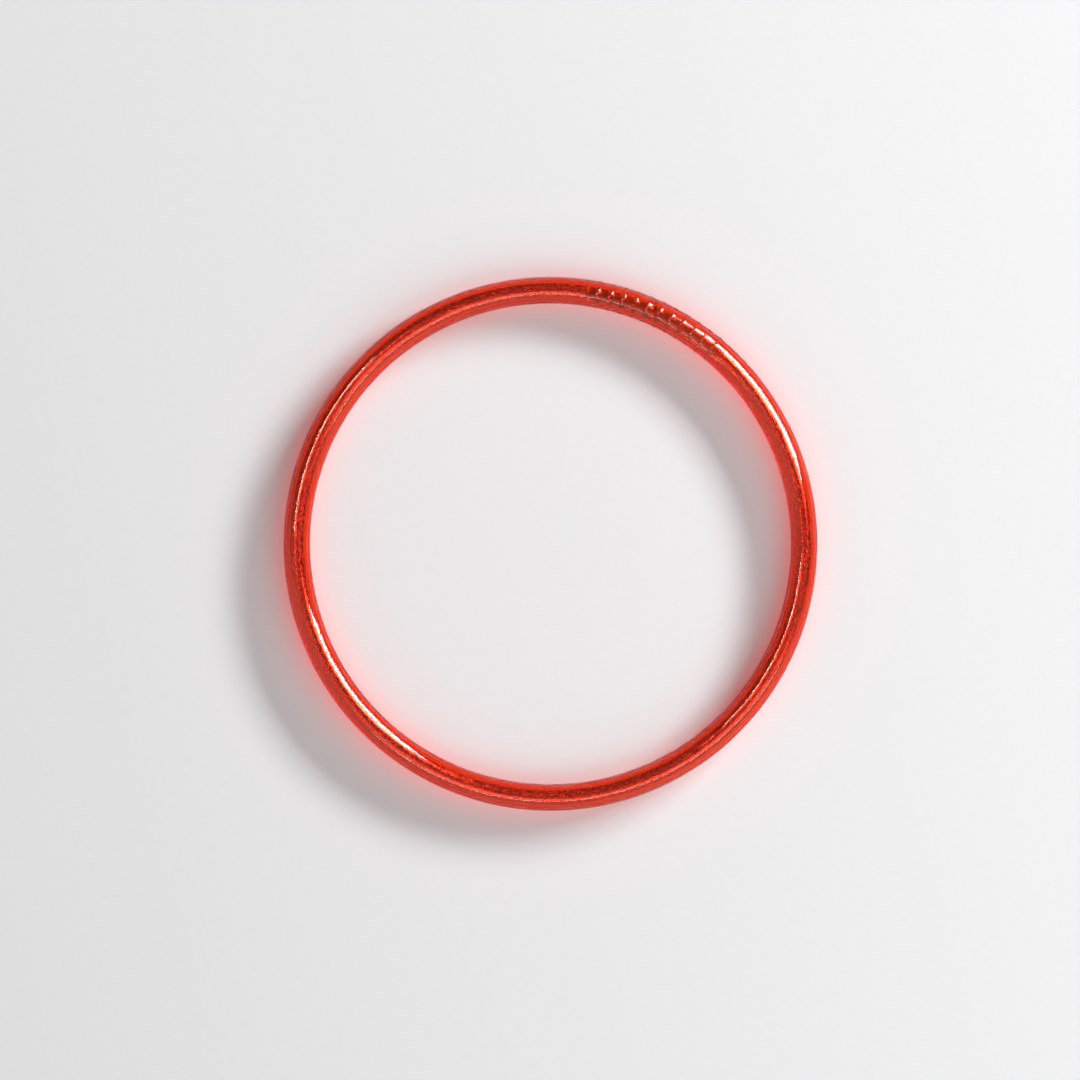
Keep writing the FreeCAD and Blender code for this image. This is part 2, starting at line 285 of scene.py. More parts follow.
def join(shape: Shape, other: Shape) -> None:
    """Moves one mesh into another.

    Args:
        shape: The mesh that grows.
        other: The mesh that is used up.
    """
    spare = bpy.data.meshes.new("spare")
    other.to_mesh(spare)
    other.free()
    shape.from_mesh(spare)
    bpy.data.meshes.remove(spare)


def rims(shape: Shape) -> list[bmesh.types.BMEdge]:
    """Lists the edges of a mesh's openings."""
    return [edge for edge in shape.edges if edge.is_boundary]


def set_up(name: str, shape: Shape, material: bpy.types.Material) -> bpy.types.Object:
    """Makes an object of a mesh and puts it in the scene, at the origin.

    Args:
        name: The object's name.
        shape: The mesh, which is used up.
        material: Its material.

    Returns:
        The object.
    """
    mesh = bpy.data.meshes.new(name)
    shape.to_mesh(mesh)
    shape.free()
    mesh.materials.append(material)
    made = bpy.data.objects.new(name, mesh)
    bpy.context.scene.collection.objects.link(made)
    return made


# --- finishes ----------------------------------------------------------------------------------


class Tone(Enum):
    """The colours of the materials and lights, in linear light."""

    VINYL = (1.0, 0.91, 0.84, 1.0)
    VINYL_BODY = (0.968, 0.433, 0.067, 1.0)
    VINYL_SHINE = (1.0, 0.86, 0.76, 1.0)
    FOIL_RED = (0.93, 0.48, 0.98, 1.0)
    FOIL_PINK = (0.98, 0.72, 1.0, 1.0)
    FOIL_DARK = (0.6, 0.2, 0.45, 1.0)
    FLAKE = (0.98, 0.75, 0.95, 1.0)
    FLAKE_DEEP = (0.95, 0.45, 0.8, 1.0)
    CLEAR = (0.83, 0.77, 0.7, 1.0)
    GLUE = (0.98, 0.86, 0.83, 1.0)
    PAPER = (0.87, 0.874, 0.878, 1.0)
    PAPER_FIBRE = (0.845, 0.849, 0.853, 1.0)
    SPILL = (1.0, 0.085, 0.065, 1.0)
    ROOM = (1.0, 0.985, 0.985, 1.0)
    WHITE_LIGHT = (1.0, 1.0, 1.0, 1.0)
    COOL_LIGHT = (0.88, 1.0, 1.3, 1.0)


class Wiring:
    """A material's or a world's nodes, with short ways to add and join them."""

    def __init__(self, owner: bpy.types.Material | bpy.types.World) -> None:
        """Starts with no nodes.

        Args:
            owner: The material or world.
        """
        self.owner = owner
        owner.use_nodes = True
        self.tree = owner.node_tree
        self.tree.nodes.clear()

    @classmethod
    def material(cls, name: str) -> Wiring:
        """Starts a new material."""
        return cls(bpy.data.materials.new(name))

    def feed(self, socket: Socket, value: object) -> None:
        """Sets or links one input.

        Args:
            socket: The input.
            value: A tone, a plain value, or an output socket to link.
        """
        if isinstance(value, Socket):
            self.tree.links.new(value, socket)
        elif isinstance(value, Tone):
            socket.default_value = value.value
        else:
            socket.default_value = value

    def add(self, kind: str, **values: object) -> bpy.types.Node:
        """Adds a node and sets its inputs.

        Args:
            kind: The node's type, without the ShaderNode prefix.
            values: Input names, with _ for each space, and what to feed each.

        Returns:
            The new node.
        """
        node = self.tree.nodes.new("ShaderNode" + kind)
        for name, value in values.items():
            self.feed(node.inputs[name.replace("_", " ")], value)
        return node

    def reckon(self, kind: str, operation: str, *values: object) -> bpy.types.Node:
        """Adds a Math or VectorMath node.

        Args:
            kind: Math or VectorMath.
            operation: What the node works out.
            values: What to feed its first inputs.

        Returns:
            The new node.
        """
        node = self.add(kind)
        node.operation = operation
        for socket, value in zip(node.inputs, values):
            self.feed(socket, value)
        return node

    def places(self) -> Socket:
        """Gives the piece's own coordinates, in metres."""
        return self.add("TexCoord").outputs["Object"]

    def unrolled(self, along: float, across: float) -> Socket:
        """Gives the piece's unrolled coordinates.

        Args:
            along: Units per metre along the tube.
            across: Units per metre round it.

        Returns:
            The coordinates' socket.
        """
        source = self.add("UVMap").outputs["UV"]
        return self.add("Mapping", Vector=source, Scale=(along, across, 1)).outputs["Vector"]

    def clouds(self, where: Socket, scale: float = 1.0, detail: float = 2.0) -> Socket:
        """Makes a cloudy pattern.

        Args:
            where: The coordinates' socket.
            scale: Clouds per unit of those coordinates.
            detail: How many finer layers it has.

        Returns:
            The pattern's socket, from 0 to 1.
        """
        return self.add("TexNoise", Vector=where, Scale=scale, Detail=detail).outputs["Fac"]

    def patches(self, where: Socket, scale: float = 1.0) -> Socket:
        """Makes patches that each have a colour by chance.

        Args:
            where: The coordinates' socket.
            scale: Patches per unit of those coordinates.

        Returns:
            The colour's socket.
        """
        return self.add("TexVoronoi", Vector=where, Scale=scale).outputs["Color"]

    def spread(self, value: Socket, low: float, high: float) -> Socket:
        """Turns a 0 to 1 value into another range.

        Args:
            value: The value's socket.
            low: The result at 0.
            high: The result at 1.

        Returns:
            The result's socket.
        """
        return self.add("MapRange", Value=value, To_Min=low, To_Max=high).outputs["Result"]

    def blend(self, share: Socket, first: Tone | Socket, second: Tone) -> Socket:
        """Mixes two colours.

        Args:
            share: How much of the second colour there is.
            first: The first colour.
            second: The second colour.

        Returns:
            The mixed colour's socket.
        """
        node = self.add("Mix", Factor=share)
        node.data_type = "RGBA"
        self.feed(node.inputs[MIX_FIRST], first)
        self.feed(node.inputs[MIX_SECOND], second)
        return node.outputs[MIX_RESULT]

    def bump(self, height: Socket, depth: float) -> Socket:
        """Makes a normal from a height.

        Args:
            height: The height's socket, from 0 to 1.
            depth: The depth of a full step, in metres.

        Returns:
            The normal's socket.
        """
        return self.add("Bump", Height=height, Distance=depth).outputs["Normal"]

    def finish(
        self, surface: Socket, volume: Socket | None = None
    ) -> bpy.types.Material | bpy.types.World:
        """Sends the shaders to the output.

        Args:
            surface: The surface shader's socket.
            volume: The volume shader's socket, where there is one.

        Returns:
            The finished material or world.
        """
        in_world = isinstance(self.owner, bpy.types.World)
        output = self.add("OutputWorld" if in_world else "OutputMaterial", Surface=surface)
        if volume is not None:
            self.feed(output.inputs["Volume"], volume)
        return self.owner


@dataclass(frozen=True)
class Finish:
    """How a piece looks.

    Args:
        slot: The record's material slot, which names the material too.
    """

    slot: str

    def material(self) -> bpy.types.Material:
        """Builds the material."""
        raise NotImplementedError


@dataclass(frozen=True)
class Vinyl(Finish):
    """Clear tinted flexible vinyl: glossy, with faint draw lines and a deep red body.

    Args:
        slot: The record's material slot.
        bend: Index of refraction.
        shine: Strength of its reflections.
        density: How strongly the body absorbs what its colour lacks, per metre.
        roughness: Roughness where it is clearest and where it is haziest.
        line_depth: Depth of the draw lines.
    """

    slot: str = "tube_vinyl"
    bend: float = 1.53
    shine: float = 0.4
    density: float = 3000.0
    roughness: Pair = (0.0, 0.05)
    line_depth: float = 0.0012 * MM

    def material(self) -> bpy.types.Material:
        """Builds the material.

        Returns:
            The material.
        """
        wiring = Wiring.material(self.slot)
        lines = wiring.clouds(wiring.unrolled(along=60, across=9000))
        haze = wiring.clouds(wiring.places(), scale=700.0, detail=3.0)
        shader = wiring.add(
            "BsdfPrincipled",
            Base_Color=Tone.VINYL,
            Transmission_Weight=1.0,
            IOR=self.bend,
            Specular_IOR_Level=self.shine,
            Specular_Tint=Tone.VINYL_SHINE,
            Roughness=wiring.spread(haze, *self.roughness),
            Normal=wiring.bump(lines, self.line_depth),
        )
        body = wiring.add("VolumeAbsorption", Color=Tone.VINYL_BODY, Density=self.density)
        return wiring.finish(shader.outputs["BSDF"], body.outputs["Volume"])


@dataclass(frozen=True)
class GlitterFoil(Finish):
    """Metallised film set with fine flakes that each lean their own way.

    Args:
        slot: The record's material slot.
        flake: Length of a flake along the roll, and its width round it.
        metal: How metallic the film is.
        roughness: Roughness of the brightest flake and of the dullest.
        darkness: Share of the lighter red at the least and at the most of a streak. Outside
            0 to 1, it stays level.
        pinkness: Share of pink in the reddest flake and in the pinkest.
        lean: How far a flake's normal leans at the least and at the most, as a share of the
            normal.
        rarity: How rare the steepest flakes are.
        fold_depth: Depth of the film's fine folds.
    """

    slot: str = "glitter_foil"
    flake: Pair = (0.4 * MM, 0.11 * MM)
    metal: float = 0.75
    roughness: Pair = (0.15, 0.37)
    darkness: Pair = (-0.3, 1.3)
    pinkness: Pair = (-1.2, 1.0)
    lean: Pair = (0.03, 0.18)
    rarity: float = 6.0
    fold_depth: float = 0.012 * MM

    def material(self) -> bpy.types.Material:
        """Builds the material.

        Returns:
            The material.
        """
        wiring = Wiring.material(self.slot)
        length, width = self.flake
        flakes = wiring.patches(wiring.unrolled(1 / length, 1 / width))
        streaks = wiring.clouds(wiring.unrolled(along=40, across=1800), detail=4.0)
        chance = wiring.add("SeparateColor", Color=flakes).outputs
        dark = wiring.spread(streaks, *self.darkness)
        film = wiring.blend(dark, Tone.FOIL_DARK, Tone.FOIL_RED)
        pink = wiring.spread(chance["Red"], *self.pinkness)
        shader = wiring.add(
            "BsdfPrincipled",
            Base_Color=wiring.blend(pink, film, Tone.FOIL_PINK),
            Metallic=self.metal,
            Roughness=wiring.spread(chance["Green"], *self.roughness),
            Normal=self.leaning(wiring, flakes, chance["Blue"]),
        )
        return wiring.finish(shader.outputs["BSDF"])

    def leaning(self, wiring: Wiring, flakes: Socket, chance: Socket) -> Socket:
        """Leans each flake's normal a little, over the film's fine folds.

        Args:
            wiring: The material's nodes.
            flakes: A colour by chance for each flake, which gives its direction.
            chance: A value by chance for each flake, which tells how steep it is.

        Returns:
            The normal's socket.
        """
        folds = wiring.clouds(wiring.unrolled(along=60, across=3500))
        base = wiring.bump(folds, self.fold_depth)
        rare = wiring.reckon("Math", "POWER", chance, self.rarity).outputs["Value"]
        centred = wiring.reckon("VectorMath", "SUBTRACT", flakes, (0.5, 0.5, 0.5))
        lean = wiring.reckon("VectorMath", "SCALE", centred.outputs["Vector"])
        wiring.feed(lean.inputs["Scale"], wiring.spread(rare, *self.lean))
        leant = wiring.reckon("VectorMath", "ADD", base, lean.outputs["Vector"])
        unit = wiring.reckon("VectorMath", "NORMALIZE", leant.outputs["Vector"])
        return unit.outputs["Vector"]


@dataclass(frozen=True)
class LooseGlitter(Finish):
    """Mirror-bright flakes in pinks and reds.

    Args:
        slot: The record's material slot.
        roughness: Roughness of clean metal and of its scratches.
    """

    slot: str = "loose_glitter"
    roughness: Pair = (0.08, 0.28)

    def material(self) -> bpy.types.Material:
        """Builds the material.

        Returns:
            The material.
        """
        wiring = Wiring.material(self.slot)
        patches = wiring.patches(wiring.places(), scale=2500.0)
        chance = wiring.add("SeparateColor", Color=patches).outputs["Red"]
        scratches = wiring.clouds(wiring.places(), scale=16000.0)
        shader = wiring.add(
            "BsdfPrincipled",
            Base_Color=wiring.blend(chance, Tone.FLAKE, Tone.FLAKE_DEEP),
            Metallic=1.0,
            Roughness=wiring.spread(scratches, *self.roughness),
        )
        return wiring.finish(shader.outputs["BSDF"])


@dataclass(frozen=True)
class ClearPlastic(Finish):
    """Clear moulded plastic, with the faint ripple and haze of a small moulding.

    Args:
        slot: The record's material slot.
        bend: Index of refraction.
        roughness: Roughness where it is clearest and where it is haziest.
        flow_depth: Depth of the ripple.
    """

    slot: str = "plug_plastic"
    bend: float = 1.49
    roughness: Pair = (0.0, 0.08)
    flow_depth: float = 0.008 * MM

    def material(self) -> bpy.types.Material:
        """Builds the material.

        Returns:
            The material.
        """
        wiring = Wiring.material(self.slot)
        flow = wiring.clouds(wiring.unrolled(along=900, across=300))
        haze = wiring.clouds(wiring.places(), scale=1500.0, detail=3.0)
        shader = wiring.add(
            "BsdfPrincipled",
            Base_Color=Tone.CLEAR,
            Transmission_Weight=1.0,
            IOR=self.bend,
            Roughness=wiring.spread(haze, *self.roughness),
            Normal=wiring.bump(flow, self.flow_depth),
        )
        return wiring.finish(shader.outputs["BSDF"])


@dataclass(frozen=True)
class SetGlue(Finish):
    """Set adhesive, cloudy in patches and a little uneven.

    Args:
        slot: The record's material slot.
        bend: Index of refraction.
        clearness: How much light it lets through where it is cloudy and where it is clear.
        roughness: Its roughness in the same two places.
        lump_depth: Depth of its lumps.
    """

    slot: str = "adhesive"
    bend: float = 1.48
    clearness: Pair = (0.9, 1.0)
    roughness: Pair = (0.2, 0.03)
    lump_depth: float = 0.01 * MM

    def material(self) -> bpy.types.Material:
        """Builds the material.

        Returns:
            The material.
        """
        wiring = Wiring.material(self.slot)
        clouds = wiring.clouds(wiring.places(), scale=3000.0, detail=4.0)
        shader = wiring.add(
            "BsdfPrincipled",
            Base_Color=wiring.blend(clouds, Tone.GLUE, Tone.CLEAR),
            Transmission_Weight=wiring.spread(clouds, *self.clearness),
            IOR=self.bend,
            Roughness=wiring.spread(clouds, *self.roughness),
            Normal=wiring.bump(clouds, self.lump_depth),
        )
        return wiring.finish(shader.outputs["BSDF"])


@dataclass(frozen=True)
class Paper(Finish):
    """Smooth white paper with a trace of fibre.

    Args:
        slot: The material's name.
        roughness: How matt it is.
        shine: Strength of its reflections.
        fibre_depth: Depth of the fibres.
    """

    slot: str = "paper"
    roughness: float = 0.85
    shine: float = 0.2
    fibre_depth: float = 0.01 * MM

    def material(self) -> bpy.types.Material:
        """Builds the material.

        Returns:
            The material.
        """
        wiring = Wiring.material(self.slot)
        fibre = wiring.clouds(wiring.places(), scale=900.0, detail=5.0)
        shader = wiring.add(
            "BsdfPrincipled",
            Base_Color=wiring.blend(fibre, Tone.PAPER, Tone.PAPER_FIBRE),
            Roughness=self.roughness,
            Specular_IOR_Level=self.shine,
            Normal=wiring.bump(fibre, self.fibre_depth),
        )
        return wiring.finish(shader.outputs["BSDF"])


# --- pieces ------------------------------------------------------------------------------------


@dataclass
class Piece:
    """A piece of the bangle.

    Args:
        line: The centreline that the piece follows.
        joint: The sizes round the joint.
        name: The piece's name.
        node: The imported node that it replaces.
        finish: How it looks.
        sectors: How many equal sectors a sweep is made of.
        sharp_from: An edge that folds by this much or more isn't smoothed over.
    """

    line: Centreline
    joint: JointSizes
    name: str = "piece"
    node: str = "node"
    finish: Finish = Finish("slot")
    sectors: int = 20
    sharp_from: float = math.radians(50)

    def shape(self) -> Shape:
        """Builds the piece's mesh."""
        raise NotImplementedError

    def sweep(self, shape: Shape, angle: float, steps: int) -> None:
        """Sweeps the mesh's edges along the centreline, one sector and then its copies.

        Args:
            shape: A mesh that holds the section.
            angle: The angle to sweep, or a full turn to close the ring.
            steps: How many stations there are, a multiple of the number of sectors.
        """
        sector = angle / self.sectors
        spin(shape, sector, steps // self.sectors)
        spin(shape, angle - sector, self.sectors - 1, use_duplicate=True)
        bmesh.ops.remove_doubles(shape, verts=shape.verts, dist=MERGE_WITHIN)

    def clear_of_plug(self, gap: float) -> Pair:
        """Finds the stretch of ring that is clear of the plug.

        Args:
            gap: The distance kept from the plug's ends.

        Returns:
            The direction where the stretch starts, and the angle that it takes in.
        """
        half = (self.joint.half_plug + gap) / self.line.radius
        return self.line.plug_middle + half, FULL_TURN - 2 * half

    def unroll(self, shape: Shape) -> None:
        """Gives the mesh a map in metres: along the centreline, then round the tube.

        Args:
            shape: The mesh to map.
        """
        layer = shape.loops.layers.uv.new("unrolled")
        shape.verts.index_update()
        polar = [self.line.polar(vertex.co) for vertex in shape.verts]
        for face in shape.faces:
            first_turn, first_around, _ = polar[face.verts[0].index]
            for loop in face.loops:
                turn, around, _ = polar[loop.vert.index]
                turn = first_turn + math.remainder(turn - first_turn, FULL_TURN)
                around = first_around + math.remainder(around - first_around, FULL_TURN)
                loop[layer].uv = (turn * self.line.radius, around * self.joint.bore_radius)

    def build(self) -> bpy.types.Object:
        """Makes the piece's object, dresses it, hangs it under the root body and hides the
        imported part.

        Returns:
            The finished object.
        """
        shape = self.shape()
        self.unroll(shape)
        for face in shape.faces:
            face.smooth = True
        for edge in shape.edges:
            edge.smooth = edge.calc_face_angle(0.0) < self.sharp_from
        piece = set_up(self.name, shape, self.finish.material())
        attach(piece, "root")
        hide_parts(self.node)
        return piece


@dataclass
class Tube(Piece):
    """The tinted tube, whose ends are glued flush and leave a fine groove at the seam.

    Args:
        sides: Sides of the tube's outside and bore.
        steps: Stations along the ring.
        cuts: How many more stations there are between two over the plug.
        margin: How far beyond the plug's ends they go.
        wobble: How far the drawn tube strays from true.
        wobble_waves: How quickly it strays along the ring.
        groove_depth: Depth of the groove at the seam.
        groove_width: Half the groove's width.
        bite: The groove's depth on average, how far it varies and the least it is, as shares.
        bite_waves: How quickly it varies round the tube.
        bite_seed: Picks one groove of many.
        ridge: Height and half width of the outside's ridge over each of the plug's ribs.
        sag: How far the bore sinks between the ribs, and half the width it keeps over one.
    """

    name: str = "vinyl_tube"
    node: str = "outer_tube"
    finish: Finish = Vinyl()
    sides: int = 52
    steps: int = 720
    cuts: int = 3
    margin: float = 1 * MM
    wobble: float = 0.012 * MM
    wobble_waves: float = 8.0
    groove_depth: float = 0.05 * MM
    groove_width: float = 0.11 * MM
    bite: tuple[float, float, float] = (0.6, 0.8, 0.1)
    bite_waves: float = 3.0
    bite_seed: float = 4.0
    ridge: Pair = (0.045 * MM, 0.17 * MM)
    sag: Pair = (0.1 * MM, 0.24 * MM)

    def shape(self) -> Shape:
        """Joins the outside and the bore, which faces inwards.

        Returns:
            The tube's mesh.
        """
        shape = bmesh.new()
        join(shape, self.wall(self.joint.tube_radius, self.outside))
        bore = self.wall(self.joint.bore_radius, self.bore)
        bmesh.ops.reverse_faces(bore, faces=bore.faces)
        join(shape, bore)
        return shape

    def wall(self, reach: float, law: Law) -> Shape:
        """Sweeps the outside or the bore and shapes it.

        Args:
            reach: Its plain radius.
            law: Gives its distance from the centreline.

        Returns:
            The closed wall.
        """
        wall = section(self.line, reach, self.sides, self.line.seam)
        self.sweep(wall, FULL_TURN, self.steps)
        self.refine(wall)
        self.line.reshape(wall, law)
        return wall

    def refine(self, wall: Shape) -> None:
        """Adds stations over the plug, where the wall is ridged.

        Args:
            wall: The swept outside or bore.
        """
        half = self.joint.half_plug + self.margin
        lengthwise = []
        for edge in wall.edges:
            pasts = [self.line.past_plug(math.atan2(v.co.y, v.co.x)) for v in edge.verts]
            over_plug = max(abs(past) for past in pasts) < half
            if over_plug and abs(pasts[0] - pasts[1]) > MERGE_WITHIN:
                lengthwise.append(edge)
        bmesh.ops.subdivide_edges(wall, edges=lengthwise, cuts=self.cuts, use_grid_fill=True)

    def stray(self, turn: float, around: float) -> float:
        """How far the drawn tube strays from true, away from the plug.

        Args:
            turn: Direction round the ring.
            around: Direction round the tube.

        Returns:
            The distance.
        """
        drawn = 1 - self.joint.stretch(self.line.past_plug(turn))
        return drawn * (self.wobble * ripple(turn, self.wobble_waves, math.cos(around)))

    def swell(self, turn: float, plain: float, stretched: float, hollow: Pair) -> float:
        """A radius that is plain away from the plug and stretched over its ribs.

        Args:
            turn: Direction round the ring.
            plain: The radius on the plain tube.
            stretched: The radius over a rib.
            hollow: How far it sinks between ribs, and half the width that stays up over one.

        Returns:
            The radius.
        """
        past = self.line.past_plug(turn)
        depth, half_width = hollow
        off = self.joint.past_rib(past) / half_width
        sunk = depth * (1 - math.exp(-off * off))
        return plain + self.joint.stretch(past) * (stretched - plain - sunk)

    def outside(self, turn: float, around: float, reach: float) -> float:
        """The outside's distance from the centreline, with the seam's groove.

        Args:
            turn: Direction round the ring.
            around: Direction round the tube.
            reach: The distance before, which it doesn't need.

        Returns:
            The distance.
        """
        swell = self.swell(turn, self.joint.tube_radius, self.joint.stretched_radius, self.ridge)
        mean, spread, least = self.bite
        bite = max(mean + spread * ripple(around, self.bite_waves, self.bite_seed), least)
        away = self.line.past_seam(turn) / self.groove_width
        groove = self.groove_depth * bite * math.exp(-away * away)
        return swell - groove + self.stray(turn, around)

    def bore(self, turn: float, around: float, reach: float) -> float:
        """The bore's distance from the centreline, which strays half as far as the outside.

        Args:
            turn: Direction round the ring.
            around: Direction round the tube.
            reach: The distance before, which it doesn't need.

        Returns:
            The distance.
        """
        swell = self.swell(turn, self.joint.bore_radius, self.joint.stretched_bore, self.sag)
        return swell + self.stray(turn, around) / 2


@dataclass(frozen=True)
class Creases:
    """Creases that wander along a rolled film, with small puckers across them.

    Args:
        depth: Depth of a full crease.
        waves: How quickly the creases vary round the roll.
        run: How quickly they vary along it, per radian of the ring.
        wander_waves: How quickly they wander round the ring.
        wander_seed: Picks one way of wandering.
        pucker_waves: How quickly the puckers vary round the roll.
        pucker_run: How quickly they vary along it, per radian of the ring.
        weights: How much a crease and a pucker count.
        level: What is taken off their sum.
        most: The most that is left.
    """

    depth: float = 0.016 * MM
    waves: float = 3.52
    run: float = 5.0
    wander_waves: float = 7.0
    wander_seed: float = 1.5
    pucker_waves: float = 2.2
    pucker_run: float = 60.0
    weights: Pair = (1.3, 0.35)
    level: float = 0.35
    most: float = 0.45

    def rise(self, turn: float, around: float) -> float:
        """How far the creased film rises at a place.

        Args:
            turn: Direction round the ring.
            around: Direction round the tube.

        Returns:
            The distance, mostly below 0.
        """
        wander = ripple(turn, self.wander_waves, self.wander_seed)
        crease = ripple(around, self.waves, self.run * turn, wander)
        pucker = ripple(around, self.pucker_waves, self.pucker_run * turn)
        total = self.weights[0] * crease + self.weights[1] * pucker - self.level
        return self.depth * min(total, self.most)


@dataclass
class Foil(Piece):
    """The rolled glitter foil: a thin lapped sheet, creased along its length.

    Args:
        radius: Outside of the roll.
        thickness: The film's thickness.
        wind: How far the roll draws in over a full turn.
        lap: How far its inner edge laps past a full turn.
        creases: The film's creases.
        end_gap: Gap between the roll and the plug.
        steps: Stations along the ring.
        fineness: Lengths that the section's outer face is divided into.
    """

    name: str = "rolled_foil"
    node: str = "foil_roll"
    finish: Finish = GlitterFoil()
    radius: float = 1.0 * MM
    thickness: float = 0.04 * MM
    wind: float = 0.07 * MM
    lap: float = math.radians(75)
    creases: Creases = Creases()
    end_gap: float = 0.35 * MM
    steps: int = 820
    fineness: int = 78

    def shape(self) -> Shape:
        """Draws the lapped section, sweeps it between the plug's ends and creases it.

        Returns:
            The foil's mesh.
        """
        start, angle = self.clear_of_plug(self.end_gap)
        swing = Matrix.Rotation(start, 4, "Z")
        shape = bmesh.new()
        corners = [shape.verts.new(swing @ place) for place in self.outline()]
        for here, after in zip(corners, corners[1:] + corners[:1]):
            shape.edges.new((here, after))
        self.sweep(shape, angle, self.steps)
        bmesh.ops.contextual_create(shape, geom=rims(shape))
        self.line.reshape(shape, self.creased)
        return shape

    def outline(self) -> list[Vector]:
        """Lists the section's corners, out along the outer face and back along the inner one.

        Returns:
            The corners, at +X.
        """
        outer = self.face(self.fineness, 0.0)
        inner = self.face(self.fineness // 2, self.thickness)
        return outer + inner[::-1]

    def face(self, count: int, inset: float) -> list[Vector]:
        """Lists points along one face of the rolled sheet.

        Args:
            count: How many lengths the face is divided into.
            inset: Depth below the outer face.

        Returns:
            The points at +X, from the outer edge to the inner one.
        """
        points = []
        for i in range(count + 1):
            wound = (FULL_TURN + self.lap) * i / count
            reach = self.radius - self.wind * wound / FULL_TURN - inset
            points.append(self.line.point(0.0, wound, reach))
        return points

    def creased(self, turn: float, around: float, reach: float) -> float:
        """The creased film's distance from the centreline."""
        return reach + self.creases.rise(turn, around)


@dataclass
class Flakes(Piece):
    """Loose six-sided glitter flakes between the foil and the bore.

    Args:
        count: How many flakes there are.
        width: The widest flake across its corners.
        smallest: The smallest flake's width, as a share of the widest.
        thickness: A flake's thickness.
        height: Distance of the flakes from the centreline.
        lean: The most that a flake leans.
        end_gap: Gap between the flakes and the plug.
        seed: Picks one scatter of many.
    """

    name: str = "loose_flakes"
    node: str = "glitter_flakes"
    finish: Finish = LooseGlitter()
    count: int = 520
    width: float = 0.15 * MM
    smallest: float = 0.6
    thickness: float = 0.006 * MM
    height: float = 1.022 * MM
    lean: float = 0.2
    end_gap: float = 1.0 * MM
    seed: int = 7

    def shape(self) -> Shape:
        """Scatters the flakes along the foil.

        Returns:
            The flakes' mesh.
        """
        shape = bmesh.new()
        dice = random.Random(self.seed)
        start, room = self.clear_of_plug(self.end_gap)
        for number in range(self.count):
            turn = start + room * (number + dice.random()) / self.count
            self.flake(shape, turn, FULL_TURN * dice.random(), dice)
        return shape

    def flake(self, shape: Shape, turn: float, around: float, dice: random.Random) -> None:
        """Adds one flake, lying nearly flat on the foil.

        Args:
            shape: The mesh to add to.
            turn: Direction round the ring.
            around: Direction round the tube.
            dice: The source of its lean, its twist and its size.
        """
        tilt = Matrix.Rotation(self.lean * dice.uniform(-1, 1), 4, "X")
        twist = Matrix.Rotation(FULL_TURN * dice.random(), 4, "Z")
        stand = (
            Matrix.Translation(self.line.point(turn, around, self.height))
            @ Matrix.Rotation(turn, 4, "Z")
            @ Matrix.Rotation(QUARTER_TURN - around, 4, "Y")
        )
        bmesh.ops.create_cone(
            shape,
            cap_ends=True,
            segments=6,
            radius1=self.width / 2 * dice.uniform(self.smallest, 1.0),
            radius2=self.width / 2 * dice.uniform(self.smallest, 1.0),
            depth=self.thickness,
            matrix=stand @ tilt @ twist,
        )


@dataclass
class Plug(Piece):
    """The clear plug, a curved rod with a rounded rib every pitch and rounded ends.

    Args:
        sides: Sides of the rod.
        steps: Stations along it.
        rib_half: Half a rib's width.
        rib_fullness: How the ribs round off: 0.5 is an arc, 1 is a flatter hump.
        end_round: Rounding of the ends.
    """

    name: str = "ribbed_plug"
    node: str = "joint_plug"
    finish: Finish = ClearPlastic()
    sides: int = 40
    steps: int = 320
    rib_half: float = 0.34 * MM
    rib_fullness: float = 0.6
    end_round: float = 0.3 * MM

    def shape(self) -> Shape:
        """Sweeps a rod, closes its ends and raises the ribs on it.

        Returns:
            The plug's mesh.
        """
        half = self.joint.half_plug / self.line.radius
        start = self.line.plug_middle - half
        shape = section(self.line, self.joint.root_radius, self.sides, start)
        self.sweep(shape, 2 * half, self.steps)
        bmesh.ops.contextual_create(shape, geom=rims(shape))
        ends = [face for face in shape.faces if len(face.verts) == self.sides]
        bmesh.ops.poke(shape, faces=ends)
        self.line.reshape(shape, self.ribbed)
        return shape

    def ribbed(self, turn: float, around: float, reach: float) -> float:
        """The plug's distance from the centreline, over its ribs and round its ends.

        Args:
            turn: Direction round the ring.
            around: Direction round the tube.
            reach: The distance before, which is small in the middle of an end.

        Returns:
            The distance.
        """
        root = self.joint.root_radius
        if reach < root / 2:
            return reach
        past = self.line.past_plug(turn)
        off = min(abs(self.joint.past_rib(past)) / self.rib_half, 1.0)
        rise = (self.joint.crest_radius - root) * (1 - off * off) ** self.rib_fullness
        from_end = max(self.joint.half_plug - abs(past), 0.0)
        inward = 1 - min(from_end / self.end_round, 1.0)
        drop = self.end_round * (1 - math.sqrt(1 - inward * inward))
        return root + rise - drop


